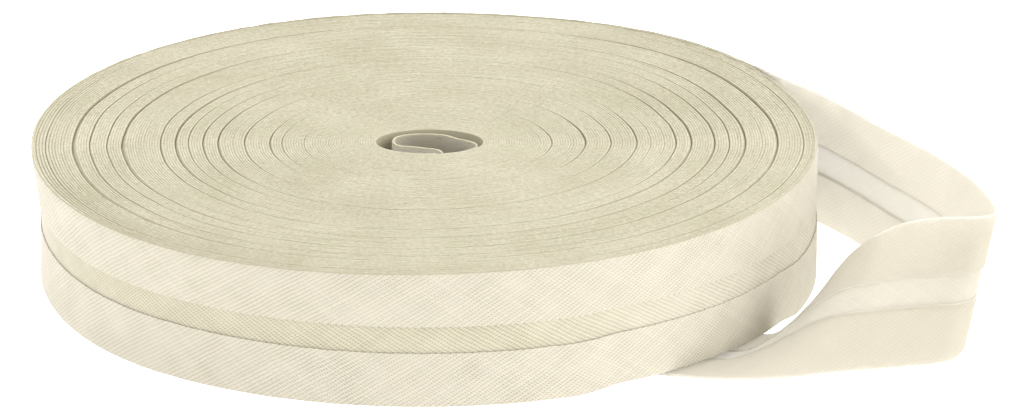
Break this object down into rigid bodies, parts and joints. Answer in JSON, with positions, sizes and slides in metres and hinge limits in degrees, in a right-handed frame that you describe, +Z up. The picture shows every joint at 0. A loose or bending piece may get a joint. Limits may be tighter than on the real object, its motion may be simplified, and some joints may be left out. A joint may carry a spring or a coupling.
{
  "type": "roll of bias binding",
  "caption": "Flat coreless roll of folded cotton bias binding, with its outer end looped out beside it and its inner end curled in the centre hole.",
  "frame": {"origin": "on the surface that the roll lies on, at the middle of the whole part seen from above; the roll's own axis is 12.5 mm from it towards -X", "axes": "+Z up along the roll's axis, +X from the roll towards the looped outer end, +Y away from the side where that end is tucked under the roll"},
  "size_m": [0.1394, 0.1144, 0.0203],
  "materials": {
    "cloth": "plain-weave cotton, matt, cream"
  },
  "bodies": {
    "root": {"roll": "cloth", "loose_end": "cloth", "inner_end": "cloth"}
  },
  "joints": []
}
